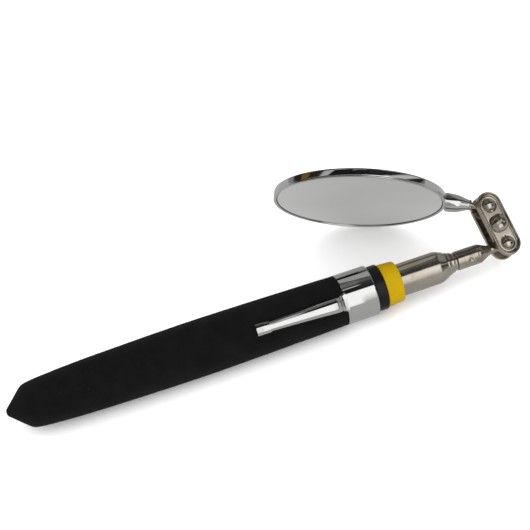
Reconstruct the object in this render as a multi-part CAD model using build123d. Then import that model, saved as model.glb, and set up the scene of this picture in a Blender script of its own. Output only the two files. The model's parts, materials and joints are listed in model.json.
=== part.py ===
from build123d import *
import os

# Telescoping inspection mirror. Millimetres. The handle lies along X with its tail at -X, and the
# mirror stands on its rim behind it (+Y). Along the handle, x is counted from the lower ball.

# Handle: grip, band, ring and collar
GRIP_TAIL = -170.4
GRIP_SHOULDER = (-164.6, 6.3)
GRIP_SIDE = [(-162.3, 7.3), (-154.8, 8.0), (-139.9, 8.63), (-108.3, 9.12), (-76.0, 8.69)]
GRIP_MAX_R = 9.14
GRIP_BORE_END = -158.0
BAND_REAR = -58.5
BAND_FRONT = -47.7
BAND_R = 8.35
BAND_WALL = 0.7
RING_FRONT = -44.0
RING_R = 7.55
COLLAR_FRONT = -38.2
COLLAR_R = 7.1
COLLAR_FRONT_R = 6.7
SPIGOT = 10.0
HANDLE_TUBE_R = 6.75
HANDLE_TUBE_WALL = 0.6
HANDLE_TUBE_REAR = -157.0

# Pocket clip
CLIP_ANGLE = 54.0
CLIP_LEAN = -1.4
CLIP_SHEET = 0.6
CLIP_ROOT_LAP = 0.9
CLIP_ROOT_RISE = 10.7
CLIP_TIP_RISE = 10.2
CLIP_DEPTH = 1.2
CLIP_ROOT_WIDTH = 4.8
CLIP_WAIST_X = -83.8
CLIP_WAIST_WIDTH = 3.4
CLIP_TIP_X = -88.9
CLIP_TIP_WIDTH = 4.0
CLIP_TIP_CORNER = 0.7
CLIP_FLARE = 0.8
CLIP_BEND = 1.4

# Telescoping tubes, outermost first
TUBE_R = [5.375, 3.9, 3.43, 2.96, 2.49]
TUBE_WALL = [0.4, 0.3, 0.3, 0.3, 0.3]
TUBE_REAR = [-150.0, -140.0, -138.5, -137.0, -135.5]
TUBE_FRONT = [-21.5, -20.2, -18.9, -17.75, -11.5]
MOUTH_R = [4.3, 3.66, 3.3, 2.96, 2.49]
MOUTH_TAPER = [2.7, 1.2, 1.0, 0.6, 0.0]
RUNNING_FIT = 0.03
SLEEVE_LENGTH = 6.6
STOP_BEAD = 0.6
REAR_BUSH_LENGTH = 7.0

# Tip ferrule and ball pins
FERRULE_REAR = -17.7
FERRULE_SHOULDER = -10.0
FERRULE_NOSE = -6.56
FERRULE_R = 3.2
FERRULE_NOSE_R = 1.5
CRIMP_X = -13.2
CRIMP_ANGLE = 65.0
CRIMP_R = 0.8
BALL_R = 3.175
LOWER_PIN_R = 1.35
LOWER_PIN_PLUG = 3.0
UPPER_PIN_R = 1.1
UPPER_PIN_SOCKET = 5.0

# Double ball clamp
BALL_SPACING = 13.9
PLATE_WIDTH = 8.6
PLATE_GAP = 4.4
PLATE_FLOOR = 3.4
PLATE_CREST = 4.0
SHEET = 0.9
RIM = 1.1
DOME_R = 4.1
SCREW_R = 1.45
SCREW_HEAD_R = 3.05
SCREW_HEAD_HEIGHT = 1.8
SCREW_HEAD_EDGE = 0.5
SCREW_CLEARANCE = 0.15
CROSS_LENGTH = 3.4
CROSS_WIDTH = 0.75
CROSS_DEPTH = 1.1
CROSS_TURN = 20.0
SCREW_END = -6.2
WASHER_THICKNESS = 0.5
WASHER_SPLIT = 0.4
NUT_FLATS = 5.5
NUT_HEIGHT = 2.4

# Mirror
MIRROR_R = 28.5
CUP_DEPTH = 3.0
CUP_WALL = 0.5
LIP_WIDTH = 0.9
LIP_THICKNESS = 0.35
GLASS_THICKNESS = 1.8
STEM_START = 4.9
STEM_ROOT = 13.43
STEM_TIP_R = 1.55
STEM_ROOT_R = 3.1
STEM_BEHIND_LIP = 1.65
STEM_LEAN = -5.33

# Rest pose of the swivel, in degrees
TIP_ROLL = 37.97
LOWER_TILT = 5.46
LOWER_SWING = 96.07
UPPER_SWING = 56.02
UPPER_TILT = 10.7
HEAD_TWIST = -90.7


def turned(points):
    """Solid of revolution about X from a closed outline of (x, radius) points."""
    return revolve(make_face(Polyline(*points, close=True)), Axis.X)


def collar(rear, front, outer, inner):
    return turned([(rear, inner), (rear, outer), (front, outer), (front, inner)])


def ball(radius):
    return Sphere(radius)


def ends(solid, x):
    """Circular edges of a turned solid that lie at one x."""
    return [e for e in solid.edges().filter_by(GeomType.CIRCLE) if abs(e.center().X - x) < 1e-3]


def grip_sleeve():
    side = Spline(GRIP_SHOULDER, *GRIP_SIDE, (BAND_REAR, BAND_R - 0.05))
    rest = Polyline((BAND_REAR, BAND_R - 0.05), (BAND_REAR, 0), (GRIP_TAIL, 0), GRIP_SHOULDER)
    body = revolve(make_face([side, rest]), Axis.X)
    bore = collar(GRIP_BORE_END, BAND_REAR, HANDLE_TUBE_R, 0)
    return body - bore


def handle_tube():
    inner = HANDLE_TUBE_R - HANDLE_TUBE_WALL
    return collar(HANDLE_TUBE_REAR, RING_FRONT, HANDLE_TUBE_R, inner)


def tail_plug():
    inner = HANDLE_TUBE_R - HANDLE_TUBE_WALL
    flange = collar(GRIP_BORE_END, HANDLE_TUBE_REAR, HANDLE_TUBE_R, 0)
    return flange + collar(HANDLE_TUBE_REAR, TUBE_REAR[0] - 0.5, inner, 0)


def clip_plan(inset):
    """Outline of the spring arm seen from outside, drawn in by the inset on both sides."""
    root, waist, tip = [w / 2 - inset for w in (CLIP_ROOT_WIDTH, CLIP_WAIST_WIDTH, CLIP_TIP_WIDTH)]
    start = BAND_REAR + CLIP_ROOT_LAP
    half = [(start, root), (BAND_REAR, root), (CLIP_WAIST_X, waist)]
    half += [(CLIP_WAIST_X - CLIP_FLARE, tip), (CLIP_TIP_X, tip)]
    outline = make_face(Polyline(*half, *[(x, -y) for x, y in reversed(half)], close=True))
    outline = fillet(outline.vertices().group_by(Axis.X)[0], CLIP_TIP_CORNER)
    return Pos(start, 0, 0) * Rot(0, 0, CLIP_LEAN) * Pos(-start, 0, 0) * outline


def clip_arm():
    """Channel-section spring arm in the plane of the clip: X along the handle, Z outwards."""
    start = BAND_REAR + CLIP_ROOT_LAP + 0.3
    low = BAND_R + CLIP_SHEET - 0.05
    route = [(start, low), (BAND_REAR - 0.4, low), (BAND_REAR - 3.2, CLIP_ROOT_RISE)]
    route += [(CLIP_WAIST_X - 2.2, CLIP_TIP_RISE), (CLIP_TIP_X - 1, CLIP_TIP_RISE + 0.7)]
    top = FilletPolyline(*route, radius=CLIP_BEND)
    foot = FilletPolyline(*[(x, z - CLIP_DEPTH) for x, z in route], radius=CLIP_BEND)
    closing = [Line(top @ 1, foot @ 1), Line(foot @ 0, top @ 0)]
    side = make_face([*top.edges(), *foot.edges(), *closing])
    bar = extrude(Plane.XZ * side, 4, both=True)
    outer = bar & extrude(clip_plan(0), 20, both=True)
    inner = Pos(0, 0, -CLIP_SHEET) * bar & extrude(clip_plan(CLIP_SHEET), 20, both=True)
    over_grip = collar(BAND_REAR - 5, BAND_REAR, BAND_R + 0.07, 0)
    over_band = collar(BAND_REAR, start + 1, BAND_R - BAND_WALL, 0)
    return outer - inner - over_grip - over_band


def pocket_clip():
    band = collar(BAND_REAR, BAND_FRONT, BAND_R, BAND_R - BAND_WALL)
    band = fillet([e for e in ends(band, BAND_FRONT) if e.radius > BAND_R - 0.01], 0.5)
    return band + Rot(CLIP_ANGLE, 0, 0) * clip_arm()


def band_bush():
    return collar(BAND_REAR, BAND_FRONT, BAND_R - BAND_WALL, HANDLE_TUBE_R)


def rubber_ring():
    ring = collar(BAND_FRONT, RING_FRONT, RING_R, HANDLE_TUBE_R)
    rims = [e for e in ring.edges().filter_by(GeomType.CIRCLE) if e.radius > RING_R - 0.01]
    return fillet(rims, 0.5)


def yellow_collar():
    spigot_r = HANDLE_TUBE_R - HANDLE_TUBE_WALL
    spigot_end = RING_FRONT - SPIGOT
    bore = TUBE_R[0]
    outline = [(spigot_end, bore), (spigot_end, spigot_r), (RING_FRONT, spigot_r)]
    outline += [(RING_FRONT, COLLAR_R), (COLLAR_FRONT, COLLAR_FRONT_R), (COLLAR_FRONT, bore)]
    body = turned(outline)
    rims = [e for e in ends(body, COLLAR_FRONT) if e.radius > bore + 0.5]
    return fillet(rims, 0.5)


def tube(i):
    """One telescoping tube: rolled-in mouth at the front, stop beads round its friction sleeve."""
    radius, rear, front = TUBE_R[i], TUBE_REAR[i], TUBE_FRONT[i]
    bore = radius - TUBE_WALL[i]
    taper = MOUTH_TAPER[i]
    points = [(rear, bore)]
    if i > 0:
        stop = TUBE_R[i - 1] - TUBE_WALL[i - 1] - 2 * RUNNING_FIT
        sleeve_rear = rear + STOP_BEAD
        sleeve_front = sleeve_rear + SLEEVE_LENGTH + 0.1
        bead_front = sleeve_front + STOP_BEAD
        points += [(rear, stop), (sleeve_rear, stop), (sleeve_rear, radius), (sleeve_front, radius)]
        points += [(sleeve_front, stop), (bead_front, stop), (bead_front, radius)]
    else:
        points += [(rear, radius)]
    if i < len(TUBE_R) - 1:
        mouth = TUBE_R[i + 1] + RUNNING_FIT
        points += [(front - taper, radius), (front, MOUTH_R[i]), (front, mouth)]
        points += [(front - taper / 2, mouth), (front - taper - TUBE_WALL[i], bore)]
    else:
        points += [(front, radius), (front, bore)]
    return turned(points)


def friction_sleeve(i):
    """Sprung brass sleeve between tube i and the tube that it slides in."""
    outer = TUBE_R[i - 1] - TUBE_WALL[i - 1] - RUNNING_FIT
    rear = TUBE_REAR[i] + STOP_BEAD + 0.05
    return collar(rear, rear + SLEEVE_LENGTH, outer, TUBE_R[i] + RUNNING_FIT)


def rear_bush():
    rear = TUBE_REAR[0]
    return collar(rear, rear + REAR_BUSH_LENGTH, HANDLE_TUBE_R - HANDLE_TUBE_WALL, TUBE_R[0])


def tip_ferrule():
    """Thick end sleeve, crimped on to the innermost tube and bored for the lower pin."""
    tube_r = TUBE_R[-1]
    tube_end = TUBE_FRONT[-1]
    outline = [(FERRULE_REAR, tube_r), (FERRULE_REAR, FERRULE_R), (FERRULE_SHOULDER, FERRULE_R)]
    outline += [(FERRULE_NOSE, FERRULE_NOSE_R), (FERRULE_NOSE, LOWER_PIN_R)]
    outline += [(tube_end, LOWER_PIN_R), (tube_end, tube_r)]
    crimp = Rot(CRIMP_ANGLE, 0, 0) * Pos(CRIMP_X, 0, FERRULE_R + 0.5) * ball(CRIMP_R)
    return turned(outline) - crimp


def lower_pin():
    """Pin between the lower ball and its plug in the innermost tube."""
    plug_r = TUBE_R[-1] - TUBE_WALL[-1]
    plug_front = TUBE_FRONT[-1]
    plug = collar(plug_front - LOWER_PIN_PLUG, plug_front, plug_r, 0)
    shank = collar(plug_front, -BALL_R / 2, LOWER_PIN_R, 0)
    return plug + shank - ball(BALL_R + RUNNING_FIT)


def plate():
    """Front plate of the clamp: X from the lower ball to the upper ball, Z out of the clamp."""
    middle = Pos(BALL_SPACING / 2, 0, 0)
    lug = SlotCenterToCenter(BALL_SPACING, PLATE_WIDTH)
    body = middle * Pos(0, 0, PLATE_GAP / 2) * extrude(lug, PLATE_CREST - PLATE_GAP / 2)
    floor = SlotCenterToCenter(BALL_SPACING, PLATE_WIDTH - 2 * RIM)
    body -= middle * Pos(0, 0, PLATE_FLOOR) * extrude(floor, 1)
    crest = [e for e in body.edges() if abs(e.center().Z - PLATE_CREST) < 1e-3]
    body = fillet(crest, 0.35)
    inner = SlotCenterToCenter(BALL_SPACING, PLATE_WIDTH - 2 * SHEET)
    body -= middle * Pos(0, 0, PLATE_GAP / 2) * extrude(inner, PLATE_FLOOR - SHEET - PLATE_GAP / 2)
    above = Pos(BALL_SPACING / 2, 0, PLATE_FLOOR - SHEET / 2 + 5) * Box(3 * BALL_SPACING, 20, 10)
    for x in (0, BALL_SPACING):
        body += (Pos(x, 0, 0) * ball(DOME_R)) & above
    for x in (0, BALL_SPACING):
        body -= Pos(x, 0, 0) * ball(BALL_R + RUNNING_FIT)
    return body - middle * Cylinder(SCREW_R + SCREW_CLEARANCE, 20)


def clamp_plate_back():
    return Rot(180, 0, 0) * plate()


def clamp_screw():
    base = PLATE_FLOOR + WASHER_THICKNESS
    top = base + SCREW_HEAD_HEIGHT
    rim = (SCREW_HEAD_R, base + SCREW_HEAD_EDGE)
    dome = ThreePointArc(rim, (0.75 * SCREW_HEAD_R, top - 0.35), (0, top))
    shank = [(0, top), (0, SCREW_END), (SCREW_R, SCREW_END), (SCREW_R, base), (SCREW_HEAD_R, base), rim]
    body = revolve(Plane.XZ * make_face([dome, Polyline(*shank)]), Axis.Z)
    cross = Box(CROSS_LENGTH, CROSS_WIDTH, 2 * CROSS_DEPTH) + Box(CROSS_WIDTH, CROSS_LENGTH, 2 * CROSS_DEPTH)
    return Pos(BALL_SPACING / 2, 0, 0) * (body - Pos(0, 0, top) * Rot(0, 0, CROSS_TURN) * cross)


def lock_washer():
    outer = SCREW_HEAD_R - 0.15
    inner = SCREW_R + SCREW_CLEARANCE
    split = Pos(0, (outer + inner) / 2) * Rectangle(WASHER_SPLIT, 2 * (outer - inner))
    ring = Circle(outer) - Circle(inner) - split
    return Pos(BALL_SPACING / 2, 0, PLATE_FLOOR) * extrude(ring, WASHER_THICKNESS)


def clamp_nut():
    hexagon = RegularPolygon(NUT_FLATS / 2, 6, major_radius=False, rotation=30) - Circle(SCREW_R)
    return Pos(BALL_SPACING / 2, 0, -PLATE_FLOOR - NUT_HEIGHT) * extrude(hexagon, NUT_HEIGHT)


def upper_pin():
    return collar(BALL_R / 2, STEM_START + UPPER_PIN_SOCKET, UPPER_PIN_R, 0) - ball(BALL_R + RUNNING_FIT)


def mirror_stem():
    """Bullet-shaped stem, coped to the round wall of the mirror's cup."""
    root_x = STEM_ROOT + 1.5
    waist = (STEM_START + 0.35 * (root_x - STEM_START), 0.72 * STEM_ROOT_R)
    side = ThreePointArc((STEM_START, STEM_TIP_R), waist, (root_x, STEM_ROOT_R))
    rest = Polyline((root_x, STEM_ROOT_R), (root_x, 0), (STEM_START, 0), (STEM_START, STEM_TIP_R))
    body = revolve(make_face([side, rest]), Axis.X)
    cup = mirror_in_head() * Cylinder(MIRROR_R, 20)
    return body - cup - collar(STEM_START, STEM_START + UPPER_PIN_SOCKET, UPPER_PIN_R, 0)


def mirror_housing():
    """Shallow cup with a rolled lip. The lip's front is at z = 0 and the glass faces +Z."""
    cup = Pos(0, 0, -CUP_DEPTH) * Cylinder(MIRROR_R, CUP_DEPTH, align=(Align.CENTER, Align.CENTER, Align.MIN))
    cup = fillet(cup.edges().group_by(Axis.Z)[0], 0.7)
    cup = fillet(cup.edges().group_by(Axis.Z)[-1], 0.3)
    room = CUP_DEPTH - CUP_WALL - LIP_THICKNESS
    hollow = Cylinder(MIRROR_R - CUP_WALL, room, align=(Align.CENTER, Align.CENTER, Align.MIN))
    cup -= Pos(0, 0, CUP_WALL - CUP_DEPTH) * hollow
    return cup - Cylinder(MIRROR_R - CUP_WALL - LIP_WIDTH, 2 * LIP_THICKNESS + 0.2)


def mirror_glass():
    back = -LIP_THICKNESS - GLASS_THICKNESS
    disc = Cylinder(MIRROR_R - CUP_WALL, GLASS_THICKNESS, align=(Align.CENTER, Align.CENTER, Align.MIN))
    return Pos(0, 0, back) * disc


def mirror_pad():
    depth = CUP_DEPTH - CUP_WALL - LIP_THICKNESS - GLASS_THICKNESS
    disc = Cylinder(MIRROR_R - CUP_WALL, depth, align=(Align.CENTER, Align.CENTER, Align.MIN))
    return Pos(0, 0, CUP_WALL - CUP_DEPTH) * disc


def mirror_in_head():
    """Place of the mirror in the head's frame, whose X runs out along the upper pin."""
    root = Pos(STEM_ROOT, 0, 0) * Rot(0, STEM_LEAN, 0)
    return root * Pos(MIRROR_R, 0, STEM_BEHIND_LIP)


def frames():
    """Frames of the rest pose, with the handle's axis at its resting height."""
    handle = Pos(0, 0, GRIP_MAX_R)
    tip = handle * Rot(TIP_ROLL, 0, 0)
    lower = tip * Rot(0, LOWER_TILT, 0)
    clamp = lower * Rot(0, 0, LOWER_SWING)
    upper = clamp * Pos(BALL_SPACING, 0, 0) * Rot(0, 0, UPPER_SWING)
    pin = upper * Rot(0, UPPER_TILT, 0)
    head = pin * Rot(HEAD_TWIST, 0, 0)
    places = {"handle": handle, "tip": tip, "lower": lower, "clamp": clamp}
    places.update({"upper": upper, "pin": pin, "head": head, "mirror": head * mirror_in_head()})
    return places


def pieces():
    """Each piece's name, the frame that it is drawn in, and its solid."""
    found = {
        "grip_sleeve": ("handle", grip_sleeve()),
        "handle_tube": ("handle", handle_tube()),
        "tail_plug": ("handle", tail_plug()),
        "rear_bush": ("handle", rear_bush()),
        "pocket_clip": ("handle", pocket_clip()),
        "band_bush": ("handle", band_bush()),
        "rubber_ring": ("handle", rubber_ring()),
        "yellow_collar": ("handle", yellow_collar()),
        "tip_ferrule": ("handle", tip_ferrule()),
        "lower_pin": ("handle", lower_pin()),
        "lower_ball": ("lower", ball(BALL_R)),
        "clamp_plate_front": ("clamp", plate()),
        "clamp_plate_back": ("clamp", clamp_plate_back()),
        "clamp_screw": ("clamp", clamp_screw()),
        "lock_washer": ("clamp", lock_washer()),
        "clamp_nut": ("clamp", clamp_nut()),
        "upper_ball": ("upper", ball(BALL_R)),
        "upper_pin": ("pin", upper_pin()),
        "mirror_stem": ("head", mirror_stem()),
        "mirror_housing": ("mirror", mirror_housing()),
        "mirror_pad": ("mirror", mirror_pad()),
        "mirror_glass": ("mirror", mirror_glass()),
    }
    for i in range(len(TUBE_R)):
        found[f"tube_{i + 1}"] = ("handle", tube(i))
        if i > 0:
            found[f"friction_sleeve_{i + 1}"] = ("handle", friction_sleeve(i))
    return found


def build():
    """All pieces in the row's frame, and the shift that put its origin under the box's middle."""
    places = frames()
    placed = {name: places[where] * solid for name, (where, solid) in pieces().items()}
    box = Compound(children=[Compound([s]) for s in placed.values()]).bounding_box()
    shift = Pos(-box.center().X, -box.center().Y, -box.min.Z)
    return {name: shift * solid for name, solid in placed.items()}, shift


if __name__ == "__main__":
    os.makedirs("parts", exist_ok=True)
    solids, shift = build()
    for name, solid in solids.items():
        export_step(solid, f"parts/{name}.step")
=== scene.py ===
import json
import math

import bmesh
import bpy
from mathutils import Matrix, Vector, noise


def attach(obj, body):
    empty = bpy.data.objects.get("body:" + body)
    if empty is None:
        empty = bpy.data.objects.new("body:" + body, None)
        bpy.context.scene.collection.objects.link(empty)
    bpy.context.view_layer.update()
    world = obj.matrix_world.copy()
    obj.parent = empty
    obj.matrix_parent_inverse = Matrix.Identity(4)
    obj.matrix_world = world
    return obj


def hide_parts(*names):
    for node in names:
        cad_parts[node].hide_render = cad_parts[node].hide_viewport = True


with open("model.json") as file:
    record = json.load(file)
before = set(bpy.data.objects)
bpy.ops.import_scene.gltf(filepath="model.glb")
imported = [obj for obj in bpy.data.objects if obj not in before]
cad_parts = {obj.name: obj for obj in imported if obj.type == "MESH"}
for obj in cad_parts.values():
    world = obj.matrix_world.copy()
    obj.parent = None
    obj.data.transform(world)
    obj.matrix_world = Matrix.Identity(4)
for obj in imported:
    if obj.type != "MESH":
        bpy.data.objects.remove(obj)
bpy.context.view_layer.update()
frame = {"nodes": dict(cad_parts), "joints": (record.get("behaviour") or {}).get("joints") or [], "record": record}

# Lengths of the modelled pieces are in millimetres in each piece's own frame; MM turns them to metres.
MM = 0.001
TURNS = 128
FINE_TURNS = 192
MIRROR_TURNS = 320
CORNER_STEPS = 6
CURVE_STEPS = 8
SHARP_ANGLE = math.radians(38)
ON_AXIS = 1e-6

# Handle, with x from the lower ball and the radius at that x
GRIP_SIDE = [(-162.3, 7.3), (-154.8, 8.0), (-139.9, 8.63), (-108.3, 9.12), (-76.0, 8.69), (-58.5, 8.3)]
GRIP_SHOULDER = (-164.6, 6.3)
GRIP_TAIL = -170.4
GRIP_TAIL_R = 0.9
GRIP_TAIL_ROUNDING = 0.6
GRIP_STEPS = 12
GRIP_BORE = 6.8
GRIP_BORE_END = -158.0
# Unevenness of the foam: depth, how fast it varies along and around, and how far from the band it ends
GRIP_WAVE = 0.05
WAVE_ALONG = 0.12
WAVE_AROUND = 2
WAVE_STOP = 0.5
BAND_REAR = -58.5
BAND_FRONT = -47.7
BAND_R = 8.35
BAND_WALL = 0.7
RING_FRONT = -44.0
RING_R = 7.55
COLLAR_FRONT = -38.2
COLLAR_REAR_R = 7.1
COLLAR_FRONT_R = 6.72
SPIGOT_R = 6.15
SPIGOT_LENGTH = 10
HANDLE_TUBE_R = 6.75
CLIP_LEAN = math.radians(-1.4)
CLIP_SHEET = 0.5
CLIP_ACROSS = 40
# Tilts of the arch's sides: degrees, and the shares of its half width between which each comes in
ARCH_TILTS = [(27, 0.3, 0.5), (45, 0.72, 0.95)]
# The clip's arm: x, height of its crown over the handle's axis, half its width, depth of its arch
CLIP_STATIONS = [(-57.9, 8.42, 3.5, 0.82), (-58.5, 8.44, 3.2, 0.7), (-59.1, 8.52, 2.75, 0.62)]
CLIP_STATIONS += [(-59.8, 8.85, 2.5, 0.62), (-60.6, 9.7, 2.42, 0.8), (-61.5, 10.4, 2.4, 1.05)]
CLIP_STATIONS += [(-62.6, 10.62, 2.37, 1.2), (-70.0, 10.56, 2.1, 1.3), (-83.6, 10.3, 1.7, 1.2)]
CLIP_STATIONS += [(-84.4, 10.26, 1.94, 1.15), (-86.5, 10.24, 2.0, 1.1), (-88.85, 10.42, 2.0, 1.1)]

# Telescoping tubes, outermost first: radius, front end, mouth radius, length of the rolled mouth
TUBES = [(5.375, -21.5, 4.3, 2.7), (3.9, -20.2, 3.72, 0.8)]
TUBES += [(3.43, -18.9, 3.36, 0.75), (2.96, -17.75, 2.94, 0.5)]
TUBE_REARS = [-150.0, -140.0, -138.5, -137.0]
TUBE_WALL = 0.3
TUBE_PLAY = 0.03
INNERMOST_R = 2.49
# Rounding of the rolled mouth, as a share of its length, and the most that its lip is rounded
ROLL_ROUNDING = 0.35
LIP_ROUNDING = 0.4
# Ring groove in each inner tube, just ahead of the mouth of the tube round it
GROOVE_AHEAD = 0.12
GROOVE_HALF = 0.25
GROOVE_DEPTH = TUBE_WALL * 0.5

# Ferrule: x and radius of its rear, its shoulder, the end of its cone and its nose
FERRULE = [(-17.7, 3.2), (-10.0, 3.2), (-6.5, 1.8), (-5.35, 1.5)]
FERRULE_BORE = 1.4
FERRULE_BORE_END = -11.45
FERRULE_STEP = 0.3
# Groove behind its shoulder: distance behind it, depth, rounding
FERRULE_GROOVE = [(0.5, 0, 0.15), (0.3, 0.09, 0.12), (0.1, 0, 0.15)]
SHOULDER_LAND = 0.6
# Crimp in its side, with a faint raised ring round it; nothing is crimped near the rear
CRIMP_X = -13.2
CRIMP_ANGLE = math.radians(65)
CRIMP_DEPTH = 0.28
CRIMP_R = 0.55
CRIMP_RING = 0.04
CRIMP_RING_R = 0.95
CRIMP_RING_WIDTH = 0.3
CRIMP_REAR_MARGIN = 2

# Clamp plates, with heights from the plane of the balls' centres and insets from the plate's edge
PLATE_WIDTH = 8.6
PLATE_FOOT = 2.2
PLATE_FLOOR = 3.4
PLATE_CREST = 4.0
PLATE_RIM = 0.85
PLATE_SHEET = 0.9
PLATE_INSETS = [0.0, 0.03, 0.07, 0.12, 0.18, 0.26, 0.34, 0.42, 0.5, 0.58, 0.66, 0.74, 0.82, 0.9, 0.98, 1.1]
FLOOR_LOOPS = 34
ROUND_STEPS = 72
STRAIGHT_STEPS = 44
# The rim is highest at its crown, and falls from there with this exponent
RIM_CROWN = 0.38
RIM_FALL = 0.5
RIM_EXPONENT = 2.6
# Shares of the rim's width between which the face goes over to its floor, and the valley at its foot
FLOOR_BLEND = (0.8, 1.15)
VALLEY_INSET = PLATE_RIM * 1.25
VALLEY_DEPTH = 0.3
VALLEY_WIDTH = 0.2
DOME_FOOT = 2.1
DOME_RISE = 1.15
CREASE_DEPTH = 0.16
CREASE_WIDTH = 0.2
FOOT_ROUNDING = 0.12
FOOT_BEVEL = 0.1
# Under the plate: the first loop's distance from the wall, and where in the insets the others start
UNDER_STEP = 0.02
UNDER_FIRST = 12
BALL_R = 3.175
BALL_PLAY = 0.03

# Mirror, with x from the front of the cup's lip
MIRROR_R = 28.5
CUP_DEPTH = 3.0
CUP_WALL = 0.5
CUP_ROUNDING = 0.7
# Groove in the cup's side: x, depth, rounding
CUP_GROOVE = [(-0.62, 0, 0.12), (-0.5, 0.06, 0.1), (-0.38, 0, 0.12)]
LIP_WIDTH = 0.5
LIP_THICKNESS = 0.35
LIP_GAP = 0.01
GLASS_THICKNESS = 1.8
GLASS_PLAY = 0.02
# Black edge of the glass that shows inside the lip
EDGE_PAINT = 0.3
PAINT_MARGIN = 0.01

# Mirror stem: x from the upper ball and radius of its root, then of its tip
STEM = [(14.2, 3.12), (4.9, 1.75)]
# Lip at its tip: distance from the tip, and from the tip's radius
STEM_LIP = [(0, -0.12), (0.12, 0.06), (0.5, 0.1), (0.9, 0.02)]
# Its swell: shares of its length and of the root's radius
STEM_SWELL = [(0.25, 0.71), (0.48, 0.92), (0.72, 1.0)]
STEM_FLARE = 1.02
STEM_SINK = 0.06

# Camera, looking at a point just over the table beside the handle. Metres and degrees, and
# millimetres for the lens and the sensor.
VIEW_TARGET = (0.00775, 0.00835, 0.010)
VIEW_AZIMUTH = -102.28
VIEW_ELEVATION = 41.88
VIEW_DISTANCE = 0.5017
VIEW_ROLL = -10.07
VIEW_LENS = 101.9
SENSOR = 36.0


# ---------------------------------------------------------------- places

def joint(name):
    return next(j for j in frame["joints"] if j["name"] == name)


def mount(name):
    return next(m for m in frame["record"]["mounts"] if m["name"] == name)


def placed(origin, x, z):
    """Matrix of a frame in millimetres whose X and Z run that way in the row frame."""
    x = Vector(x).normalized()
    z = (Vector(z) - x * x.dot(Vector(z))).normalized()
    y = z.cross(x)
    turn = Matrix((x, y, z)).transposed().to_4x4()
    return Matrix.Translation(Vector(origin)) @ turn @ Matrix.Scale(MM, 4)


LOWER_BALL = Vector(joint("lower_swing")["pos_m"])
UPPER_BALL = Vector(joint("upper_swing")["pos_m"])
CLAMP_OUT = Vector(joint("upper_swing")["axis"])
MIRROR_OUT = -Vector(mount("mirror_back")["axis"])
MIRROR_BACK = Vector(mount("mirror_back")["pos_m"])
HEAD_ALONG = Vector(joint("mirror_twist")["axis"])
BALL_SPACING = (UPPER_BALL - LOWER_BALL).length / MM

handle_place = placed(LOWER_BALL, (1, 0, 0), (0, 0, 1))
clip_place = placed(LOWER_BALL, (1, 0, 0), mount("pocket_clip_gap")["axis"])
clamp_place = placed(LOWER_BALL, UPPER_BALL - LOWER_BALL, CLAMP_OUT)
head_place = placed(UPPER_BALL, HEAD_ALONG, MIRROR_OUT)
mirror_axle = placed(MIRROR_BACK + MIRROR_OUT * CUP_DEPTH * MM, MIRROR_OUT, HEAD_ALONG)


# ---------------------------------------------------------------- mesh tools

def piece(name, vertices, faces, place, body, slot, nodes):
    """New mesh from points in millimetres, riding on a body and standing for CAD nodes."""
    mesh = bpy.data.meshes.new(name)
    mesh.from_pydata([place @ Vector(v) for v in vertices], [], faces)
    work = bmesh.new()
    work.from_mesh(mesh)
    bmesh.ops.recalc_face_normals(work, faces=work.faces)
    work.to_mesh(mesh)
    work.free()
    for face in mesh.polygons:
        face.use_smooth = True
    mesh.set_sharp_from_angle(angle=SHARP_ANGLE)
    made = bpy.data.objects.new(name, mesh)
    bpy.context.scene.collection.objects.link(made)
    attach(made, body)
    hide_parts(*nodes)
    made.data.materials.append(materials[slot])
    return made


def rounded(corners):
    """Outline through (x, radius, rounding) corners, each rounded one as a short curve."""
    outline = []
    for i, (x, r, rounding) in enumerate(corners):
        here = Vector((x, r))
        if not rounding:
            outline.append((x, r))
            continue
        before = Vector(corners[i - 1][:2])
        after = Vector(corners[(i + 1) % len(corners)][:2])
        start = here + (before - here).normalized() * rounding
        end = here + (after - here).normalized() * rounding
        for step in range(CORNER_STEPS + 1):
            t = step / CORNER_STEPS
            point = start * (1 - t) ** 2 + here * 2 * t * (1 - t) + end * t ** 2
            outline.append((point.x, point.y))
    return outline


def lathed(outline, turns=TURNS, warp=None):
    """Vertices and faces of a closed outline turned about X. Points on the axis become poles."""
    rings, vertices, faces = [], [], []
    for x, r in outline:
        count = 1 if r < ON_AXIS else turns
        rings.append(range(len(vertices), len(vertices) + count))
        for k in range(count):
            angle = 2 * math.pi * k / turns
            reach = r + (warp(x, angle) if warp and count > 1 else 0)
            vertices.append((x, -reach * math.sin(angle), reach * math.cos(angle)))
    for a, b in zip(rings, rings[1:] + rings[:1]):
        if len(a) == 1 and len(b) == 1:
            continue
        for k in range(turns):
            loop = [a[k % len(a)], a[(k + 1) % len(a)], b[(k + 1) % len(b)], b[k % len(b)]]
            faces.append(list(dict.fromkeys(loop)))
    return vertices, faces


def curve_through(points, steps):
    """Catmull-Rom curve through points of any dimension."""
    padded = [points[0]] + list(points) + [points[-1]]
    found = []
    for p0, p1, p2, p3 in zip(padded, padded[1:], padded[2:], padded[3:]):
        for step in range(steps):
            t = step / steps
            weights = (-t + 2 * t**2 - t**3, 2 - 5 * t**2 + 3 * t**3, t + 4 * t**2 - 3 * t**3, t**3 - t**2)
            found.append(tuple(
                sum(w * c for w, c in zip(weights, axis)) / 2 for axis in zip(p0, p1, p2, p3)))
    return found + [tuple(points[-1])]


def smooth_step(x, start, end):
    """0 up to the start, 1 from the end on and an S curve between them."""
    t = min(1.0, max(0.0, (x - start) / (end - start)))
    return t * t * (3 - 2 * t)


# ---------------------------------------------------------------- node tools

def add(tree, kind, sockets=None, **settings):
    """New shader node. Sockets take a number, a colour or another node's output."""
    made = tree.nodes.new("ShaderNode" + kind)
    for name, value in settings.items():
        setattr(made, name, value)
    for name, value in (sockets or {}).items():
        if isinstance(value, bpy.types.NodeSocket):
            tree.links.new(value, made.inputs[name])
        else:
            made.inputs[name].default_value = value
    return made


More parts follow.
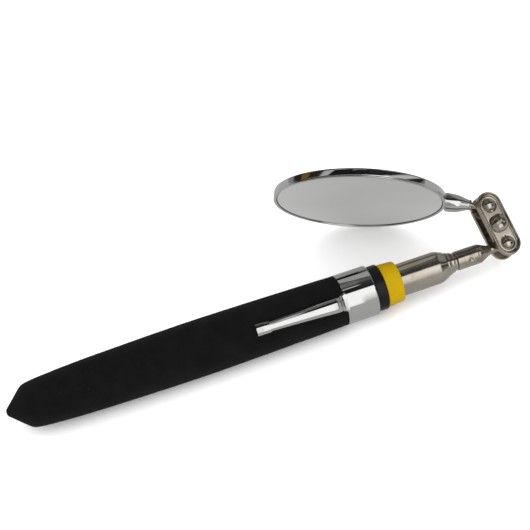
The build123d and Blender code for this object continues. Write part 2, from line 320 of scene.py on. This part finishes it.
def math_node(tree, operation, first, second):
    return add(tree, "Math", {0: first, 1: second}, operation=operation).outputs[0]


def mix_colours(tree, factor, first, second, blend="MIX"):
    """Mix of two colours, whose sockets go by number because the Mix node repeats their names."""
    sockets = {"Factor": factor, 6: first, 7: second}
    return add(tree, "Mix", sockets, data_type="RGBA", blend_type=blend).outputs[2]


def ramp(tree, factor, stops):
    """Colour ramp from (place, colour) stops, with grey stops given as one number."""
    made = add(tree, "ValToRGB", {"Fac": factor})
    elements = made.color_ramp.elements
    while len(elements) < len(stops):
        elements.new(0.5)
    for element, (place, colour) in zip(elements, stops):
        element.position = place
        grey = isinstance(colour, (int, float))
        element.color = (colour, colour, colour, 1) if grey else (*colour, 1)
    return made.outputs["Color"]


def noise_of(tree, where, size, detail=3.0, roughness=0.55):
    """Noise with features of that size in millimetres."""
    sockets = {"Vector": where, "Scale": 1 / (size * MM), "Detail": detail, "Roughness": roughness}
    return add(tree, "TexNoise", sockets).outputs["Fac"]


def bump(tree, height, depth, before=None):
    """Normal for bumps of that depth in millimetres, on top of those before it."""
    sockets = {"Height": height, "Distance": depth * MM, "Strength": 1.0}
    if before:
        sockets["Normal"] = before
    return add(tree, "Bump", sockets).outputs["Normal"]


def new_surface(name, **numbers):
    """Material with its shader's plain numbers on the shader's own sockets."""
    material = bpy.data.materials.new(name)
    material.use_nodes = True
    shader = material.node_tree.nodes["Principled BSDF"]
    for socket, value in numbers.items():
        shader.inputs[socket.replace("_", " ")].default_value = value
    where = add(material.node_tree, "TexCoord").outputs["Object"]
    return material, material.node_tree, shader, where


def feed(tree, shader, **outputs):
    """Links outputs to the shader's sockets of those names."""
    for socket, output in outputs.items():
        tree.links.new(output, shader.inputs[socket.replace("_", " ")])


# ---------------------------------------------------------------- materials

# Scratches run along X, this many times longer than wide
SCRATCH_STRETCH = 14.0
PORE_SIZE = 0.42


def polished(name, dark, light, gloss, haze, scratch, grime=None):
    """Plated metal: clouded tint, smudges in its gloss and faint polishing scratches."""
    material, tree, shader, where = new_surface(name, Metallic=1.0)
    clouds = noise_of(tree, where, 6.0)
    stops = [(0.3, dark), (0.7, light)]
    if grime:
        stops = [(0.22, grime), (0.4, dark), (0.75, light)]
    smudges = noise_of(tree, where, 2.2, detail=5.0)
    stretch = (1.0, SCRATCH_STRETCH, SCRATCH_STRETCH)
    stretched = add(tree, "Mapping", {"Vector": where, "Scale": stretch}).outputs[0]
    lines = noise_of(tree, stretched, 1.2, detail=4.0, roughness=0.7)
    rough = ramp(tree, smudges, [(0.3, gloss), (0.75, haze)])
    feed(tree, shader, Base_Color=ramp(tree, clouds, stops), Roughness=rough,
         Normal=bump(tree, lines, scratch))
    return material


def foam():
    """Closed-cell foam: dull black skin with fine pores and a few pale lint specks."""
    material, tree, shader, where = new_surface(
        "foam", Specular_IOR_Level=0.1, Sheen_Weight=0.01, Sheen_Roughness=0.6)
    cells = add(tree, "TexVoronoi", {"Vector": where, "Scale": 1 / (PORE_SIZE * MM)}).outputs["Distance"]
    grain = noise_of(tree, where, 0.22, detail=4.0)
    cloud = noise_of(tree, where, 5.0)
    lint = noise_of(tree, where, 0.5, detail=1.0)
    skin = ramp(tree, cloud, [(0.3, (0.0016, 0.0016, 0.0015)), (0.7, (0.003, 0.003, 0.0028))])
    specks = ramp(tree, lint, [(0.77, 0.0), (0.8, 0.012)])
    colour = mix_colours(tree, 1.0, skin, specks, "ADD")
    pores = bump(tree, cells, 0.07)
    feed(tree, shader, Base_Color=colour, Normal=bump(tree, grain, 0.05, pores),
         Roughness=ramp(tree, grain, [(0.3, 0.78), (0.7, 0.95)]))
    return material


def moulded(name, dark, light, gloss, haze, grain_depth, **numbers):
    """Moulded plastic or rubber: slight colour drift, satin gloss and a fine mould grain."""
    material, tree, shader, where = new_surface(name, **numbers)
    cloud = noise_of(tree, where, 4.0)
    grain = noise_of(tree, where, 0.18, detail=3.0)
    wear = noise_of(tree, where, 1.5, detail=5.0)
    feed(tree, shader, Base_Color=ramp(tree, cloud, [(0.3, dark), (0.7, light)]),
         Roughness=ramp(tree, wear, [(0.3, gloss), (0.7, haze)]),
         Normal=bump(tree, grain, grain_depth))
    return material


def silvered():
    """Back-silvered glass: a nearly even mirror, a little duller where dust lies on it."""
    material, tree, shader, where = new_surface("mirror_glass", Metallic=1.0, Coat_Weight=0.2)
    drift = noise_of(tree, where, 30.0, detail=1.0)
    dust = noise_of(tree, where, 1.1, detail=6.0)
    tint = ramp(tree, drift, [(0.3, (0.80, 0.80, 0.79)), (0.7, (0.87, 0.87, 0.86))])
    feed(tree, shader, Base_Color=tint, Roughness=ramp(tree, dust, [(0.35, 0.0), (0.8, 0.03)]))
    return material


materials = {
    "foam": foam(),
    "black_rubber": moulded("black_rubber", (0.002, 0.002, 0.0025), (0.005, 0.005, 0.0055),
                            0.3, 0.42, 0.01, Specular_IOR_Level=0.2),
    "yellow_plastic": moulded("yellow_plastic", (0.31, 0.195, 0.0002), (0.345, 0.22, 0.0005),
                              0.4, 0.55, 0.008, Specular_IOR_Level=0.05),
    "black_plastic": moulded("black_plastic", (0.012, 0.012, 0.012), (0.03, 0.03, 0.03), 0.4, 0.6, 0.012),
    "chrome": polished("chrome", (0.54, 0.54, 0.53), (0.58, 0.58, 0.57), 0.03, 0.06, 0.0004),
    "nickel": polished("nickel", (0.41, 0.375, 0.315), (0.51, 0.47, 0.405), 0.11, 0.2, 0.0012,
                       grime=(0.27, 0.2, 0.14)),
    "steel": polished("steel", (0.35, 0.35, 0.35), (0.5, 0.5, 0.5), 0.2, 0.35, 0.002),
    "brass": polished("brass", (0.5, 0.34, 0.12), (0.68, 0.5, 0.22), 0.15, 0.3, 0.001),
    "mirror_glass": silvered(),
    "pad": moulded("pad", (0.16, 0.15, 0.13), (0.26, 0.25, 0.22), 0.8, 0.95, 0.03),
}


# ---------------------------------------------------------------- pieces

def grip():
    """Foam sleeve that bulges gently, pulled over the tail in a blunt cone."""
    side = curve_through([GRIP_SHOULDER] + GRIP_SIDE, GRIP_STEPS)
    tail = rounded([(GRIP_TAIL, 0, 0), (GRIP_TAIL, GRIP_TAIL_R, GRIP_TAIL_ROUNDING), (*GRIP_SHOULDER, 0)])
    bore = [(BAND_REAR, GRIP_BORE), (GRIP_BORE_END, GRIP_BORE), (GRIP_BORE_END, 0)]

    def wave(x, angle):
        if x < GRIP_SHOULDER[0] or x > BAND_REAR - WAVE_STOP:
            return 0.0
        where = (x * WAVE_ALONG, WAVE_AROUND * math.cos(angle), WAVE_AROUND * math.sin(angle))
        return -GRIP_WAVE * abs(noise.noise(Vector(where)))

    vertices, faces = lathed(tail[:-1] + side + bore, FINE_TURNS, wave)
    made = piece("foam_grip", vertices, faces, handle_place, "handle", "foam", ["grip_sleeve"])


def arch_falls(across):
    """Share of the arch's depth fallen at each point across it: flat crown, soft shoulders."""
    half = across // 2
    falls = [0.0]
    for k in range(half):
        out = (k + 0.5) / half
        tilt = sum(degrees * smooth_step(out, start, end) for degrees, start, end in ARCH_TILTS)
        falls.append(falls[-1] + math.tan(math.radians(tilt)))
    falls = [fall / falls[-1] for fall in falls]
    return falls[:0:-1] + falls


def clip():
    """Band rolled from sheet, and a gutter-shaped arm bent out of it."""
    inner = BAND_R - BAND_WALL
    band, band_faces = lathed(rounded([
        (BAND_REAR, inner, 0), (BAND_REAR, BAND_R, 0.25), (BAND_FRONT, BAND_R, 0.5),
        (BAND_FRONT, inner, 0)]))
    band = [clip_place.inverted() @ (handle_place @ Vector(v)) for v in band]
    stations = curve_through(CLIP_STATIONS, CURVE_STEPS)
    falls = arch_falls(CLIP_ACROSS)
    arm = []
    root = CLIP_STATIONS[0][0]
    for lower in (False, True):
        for x, crown, half, depth in stations:
            sheet = CLIP_SHEET if lower else 0.0
            for k in range(CLIP_ACROSS + 1):
                y = (half - sheet) * (2 * k / CLIP_ACROSS - 1)
                z = crown - depth * falls[k]
                shift = (x - root) * math.tan(CLIP_LEAN)
                arm.append((x, y + shift, z - sheet * (1 if 0 < k < CLIP_ACROSS else 0)))
    rows = len(stations)
    row = CLIP_ACROSS + 1

    def at(lower, i, k):
        return len(band) + (lower * rows + i) * row + k

    arm_faces = []
    for i in range(rows - 1):
        for k in range(CLIP_ACROSS):
            arm_faces.append([at(0, i, k), at(0, i + 1, k), at(0, i + 1, k + 1), at(0, i, k + 1)])
            arm_faces.append([at(1, i, k), at(1, i, k + 1), at(1, i + 1, k + 1), at(1, i + 1, k)])
        for k in (0, CLIP_ACROSS):
            arm_faces.append([at(0, i, k), at(1, i, k), at(1, i + 1, k), at(0, i + 1, k)])
    for i in (0, rows - 1):
        for k in range(CLIP_ACROSS):
            arm_faces.append([at(0, i, k), at(0, i, k + 1), at(1, i, k + 1), at(1, i, k)])
    piece("clip_and_band", band + arm, band_faces + arm_faces, clip_place, "handle", "chrome",
          ["pocket_clip"])


def neck():
    """Rubber ring and yellow collar in front of the band."""
    ring = rounded([
        (BAND_FRONT, HANDLE_TUBE_R, 0), (BAND_FRONT, RING_R, 0.45), (RING_FRONT, RING_R, 0.45),
        (RING_FRONT, HANDLE_TUBE_R, 0)])
    vertices, faces = lathed(ring)
    piece("neck_ring", vertices, faces, handle_place, "handle", "black_rubber", ["rubber_ring"])
    bore = TUBES[0][0]
    spigot_end = RING_FRONT - SPIGOT_LENGTH
    collar = rounded([
        (spigot_end, bore, 0), (spigot_end, SPIGOT_R, 0), (RING_FRONT, SPIGOT_R, 0),
        (RING_FRONT, COLLAR_REAR_R, 0.3), (COLLAR_FRONT, COLLAR_FRONT_R, 0.7), (COLLAR_FRONT, bore, 0.12)])
    vertices, faces = lathed(collar)
    piece("neck_collar", vertices, faces, handle_place, "handle", "yellow_plastic", ["yellow_collar"])


def tubes():
    """Tubes with rolled-in mouths, so that each step between them is a soft ring."""
    inner_radii = [tube[0] for tube in TUBES[1:]] + [INNERMOST_R]
    for i, (radius, front, mouth, roll) in enumerate(TUBES):
        rear = TUBE_REARS[i]
        bore = inner_radii[i] + TUBE_PLAY
        groove = TUBES[i - 1][1] + GROOVE_AHEAD if i else rear + 1
        sunk = GROOVE_DEPTH if i else 0
        wall = rounded([
            (rear, radius - TUBE_WALL, 0), (rear, radius, 0.1), (groove - GROOVE_HALF, radius, 0.05),
            (groove, radius - sunk, 0.08), (groove + GROOVE_HALF, radius, 0.12),
            (front - roll, radius, roll * ROLL_ROUNDING), (front, mouth, min(LIP_ROUNDING, mouth - bore)),
            (front, bore, 0.05), (front - roll / 2, bore, 0),
            (front - roll - TUBE_WALL, radius - TUBE_WALL, 0)])
        vertices, faces = lathed(wall)
        body = "handle" if i == 0 else f"section_{i + 1}"
        piece(f"tube_{i + 1}_wall", vertices, faces, handle_place, body, "nickel", [f"tube_{i + 1}"])


def ferrule():
    """Thick end sleeve with a soft shoulder, a rounded nose and one crimp."""
    (rear, radius), (shoulder, _), (neck_x, neck_r), (nose, nose_r) = FERRULE
    bottom = FERRULE_BORE_END
    groove = [(shoulder - back, radius - depth, rounding) for back, depth, rounding in FERRULE_GROOVE]
    outline = rounded([(rear, INNERMOST_R, 0), (rear, radius, 0.3)] + groove + [
        (shoulder + SHOULDER_LAND, radius, 0.6), (neck_x, neck_r, 0.6), (nose, nose_r, 0.25),
        (nose, FERRULE_BORE, 0), (bottom, FERRULE_BORE, 0), (bottom, INNERMOST_R, 0)])
    dense = []
    for (x0, r0), (x1, r1) in zip(outline, outline[1:] + outline[:1]):
        count = max(1, int(abs(x1 - x0) / FERRULE_STEP))
        dense += [(x0 + (x1 - x0) * k / count, r0 + (r1 - r0) * k / count) for k in range(count)]

    def crimp(x, angle):
        if x <= rear + CRIMP_REAR_MARGIN:
            return 0.0
        around = (angle - CRIMP_ANGLE + math.pi) % (2 * math.pi) - math.pi
        away = math.hypot(x - CRIMP_X, around * radius)
        raised = CRIMP_RING * math.exp(-((away - CRIMP_RING_R) / CRIMP_RING_WIDTH) ** 2)
        return raised - CRIMP_DEPTH * math.exp(-(away / CRIMP_R) ** 2)

    vertices, faces = lathed(dense, FINE_TURNS, crimp)
    piece("tip_sleeve", vertices, faces, handle_place, "section_5", "nickel", ["tip_ferrule"])


def plate_height(x, y, inset):
    """Height of the front plate's face: a thin rolled rim, a recessed floor and a dome over each ball."""
    rim = PLATE_CREST - RIM_FALL * min(1.0, abs(inset - RIM_CROWN) / RIM_CROWN) ** RIM_EXPONENT
    floor_blend = smooth_step(inset, PLATE_RIM * FLOOR_BLEND[0], PLATE_RIM * FLOOR_BLEND[1])
    floor = PLATE_FLOOR
    for centre in (0.0, BALL_SPACING):
        reach = math.hypot(x - centre, y)
        crease = CREASE_DEPTH * math.exp(-((reach - DOME_FOOT) / CREASE_WIDTH) ** 2)
        cap = DOME_RISE * math.sqrt(max(0.0, 1 - (reach / DOME_FOOT) ** 2))
        floor += cap - crease
    floor -= VALLEY_DEPTH * math.exp(-((inset - VALLEY_INSET) / VALLEY_WIDTH) ** 2)
    return rim * (1 - floor_blend) + floor * floor_blend


def strip_across(start, around):
    """Faces that close the innermost loop of a plate, from one long side to the other."""
    first = ROUND_STEPS // 2
    faces = []
    for k in range(around // 2 - 1):
        ahead, behind = (first + k) % around, (first - 1 - k) % around
        beyond, past = (ahead + 1) % around, (behind - 1) % around
        faces.append([start + ahead, start + beyond, start + past, start + behind])
    return faces


def plate(name, node, side):
    """Pressed clamp plate; side is 1 for the front one and -1 for the rear one."""
    half = PLATE_WIDTH / 2
    turns = [math.pi * ((k + 0.5) / ROUND_STEPS - 0.5) for k in range(ROUND_STEPS)]
    straight = [BALL_SPACING * (k + 0.5) / STRAIGHT_STEPS for k in range(STRAIGHT_STEPS)]
    around = 2 * (ROUND_STEPS + STRAIGHT_STEPS)
    rim_end = PLATE_INSETS[-1]
    insets = PLATE_INSETS + [
        rim_end + (half - rim_end) * k / FLOOR_LOOPS for k in range(1, FLOOR_LOOPS)]
    hollow = BALL_R + BALL_PLAY
    vertices, rings = [], []

    def loop(inset, height):
        rings.append(len(vertices))
        reach = half - inset
        route = [(BALL_SPACING + reach * math.cos(t), reach * math.sin(t)) for t in turns]
        route += [(x, reach) for x in reversed(straight)]
        route += [(-reach * math.cos(t), -reach * math.sin(t)) for t in turns]
        route += [(x, -reach) for x in straight]
        vertices.extend((x, y, side * height(x, y, inset)) for x, y in route)

    def level_loop(inset, height):
        loop(inset, lambda x, y, i: height)

    def under(x, y, inset):
        recess = PLATE_FLOOR - PLATE_SHEET
        for centre in (0.0, BALL_SPACING):
            reach = math.hypot(x - centre, y)
            if reach < hollow:
                recess = max(recess, math.sqrt(hollow**2 - reach**2))
        return recess

    level_loop(FOOT_ROUNDING, PLATE_FOOT)
    level_loop(0.0, PLATE_FOOT + FOOT_ROUNDING)
    for inset in insets:
        loop(inset, plate_height)
    top_end = len(rings)
    level_loop(FOOT_ROUNDING, PLATE_FOOT)
    level_loop(PLATE_SHEET - FOOT_BEVEL, PLATE_FOOT)
    level_loop(PLATE_SHEET, PLATE_FOOT + FOOT_BEVEL)
    for inset in [PLATE_SHEET + UNDER_STEP] + insets[UNDER_FIRST:]:
        loop(inset, under)
    faces = []
    spans = list(range(top_end - 1)) + list(range(top_end, len(rings) - 1))
    for i in spans:
        a, b = rings[i], rings[i + 1]
        for k in range(around):
            n = (k + 1) % around
            faces.append([a + k, a + n, b + n, b + k])
    for last in (rings[top_end - 1], rings[-1]):
        faces += strip_across(last, around)
    piece(name, vertices, faces, clamp_place, "clamp", "nickel", [node])


def mirror():
    """Pressed cup with a rolled lip over the glass."""
    bed = MIRROR_R - CUP_WALL
    opening = bed - LIP_WIDTH
    cup_floor = CUP_WALL - CUP_DEPTH
    groove = [(x, MIRROR_R - depth, rounding) for x, depth, rounding in CUP_GROOVE]
    cup = rounded([(-CUP_DEPTH, 0, 0), (-CUP_DEPTH, MIRROR_R, CUP_ROUNDING)] + groove + [
        (0, MIRROR_R, 0.22), (0, opening, 0.2), (-LIP_THICKNESS, opening, 0), (-LIP_THICKNESS, bed, 0),
        (cup_floor, bed, 0), (cup_floor, 0, 0)])
    vertices, faces = lathed(cup, MIRROR_TURNS)
    piece("mirror_cup", vertices, faces, mirror_axle, "mirror_head", "chrome", ["mirror_housing"])
    front = -LIP_THICKNESS - LIP_GAP
    back = front - GLASS_THICKNESS + GLASS_PLAY
    edge = bed - GLASS_PLAY
    clear = opening - EDGE_PAINT
    disc = rounded([(back, 0, 0), (back, edge, 0.2), (front, edge, 0.3), (front, clear, 0), (front, 0, 0)])
    vertices, faces = lathed(disc, MIRROR_TURNS)
    glass = piece("mirror_disc", vertices, faces, mirror_axle, "mirror_head", "mirror_glass",
                  ["mirror_glass"])
    glass.data.materials.append(materials["black_rubber"])
    for face, corners in zip(glass.data.polygons, faces):
        if min(math.hypot(*vertices[c][1:]) for c in corners) > clear - PAINT_MARGIN:
            face.material_index = 1


def stem():
    """Bullet-shaped stem whose root is coped to the round wall of the cup."""
    (root_x, root_r), (tip_x, tip_r) = STEM
    length = root_x - tip_x
    lip = [(tip_x + along, tip_r + out) for along, out in STEM_LIP]
    swell = [(tip_x + along * length, out * root_r) for along, out in STEM_SWELL]
    side = lip[2:] + swell + [(root_x, root_r * STEM_FLARE)]
    outline = [(tip_x, 0)] + lip[:2] + curve_through(side, CURVE_STEPS) + [(root_x, 0)]
    vertices, faces = lathed(outline)
    to_axle = mirror_axle.inverted() @ head_place
    coped = []
    for v in vertices:
        p = to_axle @ Vector(v)
        reach = math.hypot(p.y, p.z)
        if reach < MIRROR_R - STEM_SINK:
            p.y *= (MIRROR_R - STEM_SINK) / reach
            p.z *= (MIRROR_R - STEM_SINK) / reach
        coped.append(p)
    piece("mirror_neck", coped, faces, mirror_axle, "mirror_head", "chrome", ["mirror_stem"])


def dress_nodes():
    """Every CAD node takes its slot's material."""
    for part in frame["record"]["subparts"]:
        node = frame["nodes"][part["node"]]
        if not node.material_slots:
            node.data.materials.append(materials[part["material_slot"]])
        for held in node.material_slots:
            held.material = materials[part["material_slot"]]


# ---------------------------------------------------------------- set

FLOOR_HALF = 3.0
# Grey glow that reflections see mixed into the floor, and its share of the mix
FLOOR_GREY = 0.44
FLOOR_DIMMING = 0.88

# What polished metal sees, as degrees from overhead towards the front and a brightness or a colour.
# STUDIO is for reflections that run straight across the handle.
STUDIO = [(-90, 0.3), (-76, 0.26), (-62, 0.1), (-36, 0.07), (-26, 0.1), (-15, 0.24), (-5, 0.2), (0, 0.07),
          (4, 0.1), (6, 0.8), (8, 0.8), (9.5, 0.02), (27, 0.012), (30, 1.55), (80, 1.6), (90, 1.3)]
# These take over from it where they lean to the handle's tail, a little to its tip and far to its tip
GOLD = (0.2, 0.135, 0.02)
TAIL_SIDE = [(-90, 0.34), (-80, 0.3), (-75, 0.03), (-60, 0.02), (-55, GOLD), (-42, GOLD), (-37, 0.02),
             (-19, 0.03), (-15, 0.6), (-7, 0.6), (-5, 0.012), (28, 0.012), (32, 0.5), (90, 0.4)]
TUBE_SIDE = [(-90, 0.14), (-70, 0.1), (-24, 0.06), (-14, 0.15), (-6, 0.13), (0, 0.05), (27, 0.02), (30, 1.6),
             (52, 1.6), (76, 1.05), (90, 0.6)]
TIP_SIDE = [(-90, 0.4), (-30, 0.4), (0, 0.3), (14, 0.05), (28, 0.012), (31, 0.75), (38, 0.75), (41, 0.02),
            (60, 0.02), (64, 0.2), (90, 0.3)]
# Part of the direction along the handle, to tail or tip, at which each starts and is complete
TAIL_LEAN = (0.03, 0.12)
TUBE_LEAN = (0.205, 0.235)
TIP_LEAN = (0.5, 0.58)
# Brightness that the white of their ramps stands for
STUDIO_PEAK = 1.6
# Light for all other rays at the front, and the share of it at the back
SOFT_LIGHT = 2.3
SOFT_BACK = 0.55


def camera():
    """Camera of the main view."""
    data = bpy.data.cameras.new("camera")
    data.lens = VIEW_LENS
    data.sensor_width = SENSOR
    azimuth, elevation = math.radians(VIEW_AZIMUTH), math.radians(VIEW_ELEVATION)
    flat = math.cos(elevation)
    back = Vector((flat * math.cos(azimuth), flat * math.sin(azimuth), math.sin(elevation)))
    eye = bpy.data.objects.new("camera", data)
    bpy.context.scene.collection.objects.link(eye)
    turn = (-back).to_track_quat("-Z", "Y").to_matrix().to_4x4()
    roll = Matrix.Rotation(math.radians(VIEW_ROLL), 4, "Z")
    eye.matrix_world = Matrix.Translation(Vector(VIEW_TARGET) + back * VIEW_DISTANCE) @ turn @ roll
    bpy.context.scene.camera = eye


def floor():
    """Pale table top that reflections see darker than it is."""
    mesh = bpy.data.meshes.new("floor")
    half = FLOOR_HALF
    mesh.from_pydata([(-half, -half, 0), (half, -half, 0), (half, half, 0), (-half, half, 0)], [],
                     [(0, 1, 2, 3)])
    ground = bpy.data.objects.new("floor", mesh)
    bpy.context.scene.collection.objects.link(ground)
    material, tree, shader, where = new_surface("floor", Specular_IOR_Level=0.0, Roughness=1.0)
    feed(tree, shader, Base_Color=ramp(tree, noise_of(tree, where, 40.0), [(0.3, 0.93), (0.7, 0.95)]))
    dim = add(tree, "Emission", {"Color": (FLOOR_GREY, FLOOR_GREY, FLOOR_GREY, 1)})
    dimmed = add(tree, "MixShader", {0: FLOOR_DIMMING, 1: shader.outputs[0], 2: dim.outputs[0]})
    in_metal = add(tree, "LightPath").outputs["Is Glossy Ray"]
    both = add(tree, "MixShader", {0: in_metal, 1: shader.outputs[0], 2: dimmed.outputs[0]})
    tree.links.new(both.outputs[0], tree.nodes["Material Output"].inputs["Surface"])
    ground.data.materials.append(material)


def strip_lights(tree, share, strips):
    """Strips as a ramp from the back, over the top, to the front."""
    stops = []
    for angle, light in strips:
        grey = isinstance(light, (int, float))
        colour = light / STUDIO_PEAK if grey else [c / STUDIO_PEAK for c in light]
        stops.append(((angle + 90) / 180, colour))
    return ramp(tree, share, stops)


def studio():
    """Soft even light, and strip lights with black flags between them for the metal to reflect."""
    world = bpy.data.worlds.new("studio")
    bpy.context.scene.world = world
    world.use_nodes = True
    tree = world.node_tree
    tree.nodes.clear()
    way = add(tree, "TexCoord").outputs["Generated"]
    parts = add(tree, "SeparateXYZ", {"Vector": way})
    front = math_node(tree, "MULTIPLY", parts.outputs["Y"], -1.0)
    from_overhead = math_node(tree, "ARCTAN2", front, parts.outputs["Z"])
    share = math_node(tree, "ADD", math_node(tree, "DIVIDE", from_overhead, math.pi), 0.5)
    tipward = parts.outputs["X"]
    tailward = math_node(tree, "MULTIPLY", tipward, -1.0)
    sides = [(tipward, TUBE_LEAN, TUBE_SIDE), (tailward, TAIL_LEAN, TAIL_SIDE), (tipward, TIP_LEAN, TIP_SIDE)]
    seen = strip_lights(tree, share, STUDIO)
    for lean, (start, complete), strips in sides:
        factor = ramp(tree, lean, [(start, 0.0), (complete, 1.0)])
        seen = mix_colours(tree, factor, seen, strip_lights(tree, share, strips))
    metal = add(tree, "Background", {"Color": seen, "Strength": STUDIO_PEAK})
    frontward = math_node(tree, "ADD", math_node(tree, "MULTIPLY", front, 0.5), 0.5)
    facing = ramp(tree, frontward, [(0.0, SOFT_BACK), (1.0, 1.0)])
    soft = add(tree, "Background", {"Color": facing, "Strength": SOFT_LIGHT})
    path = add(tree, "LightPath")
    glossy = path.outputs["Is Glossy Ray"]
    mix = add(tree, "MixShader", {0: glossy, 1: soft.outputs[0], 2: metal.outputs[0]})
    add(tree, "OutputWorld", {"Surface": mix.outputs[0]})


grip()
clip()
neck()
tubes()
ferrule()
plate("clamp_face", "clamp_plate_front", 1)
plate("clamp_rear", "clamp_plate_back", -1)
mirror()
stem()
dress_nodes()
camera()
floor()
studio()
bpy.context.scene.view_settings.view_transform = "Standard"
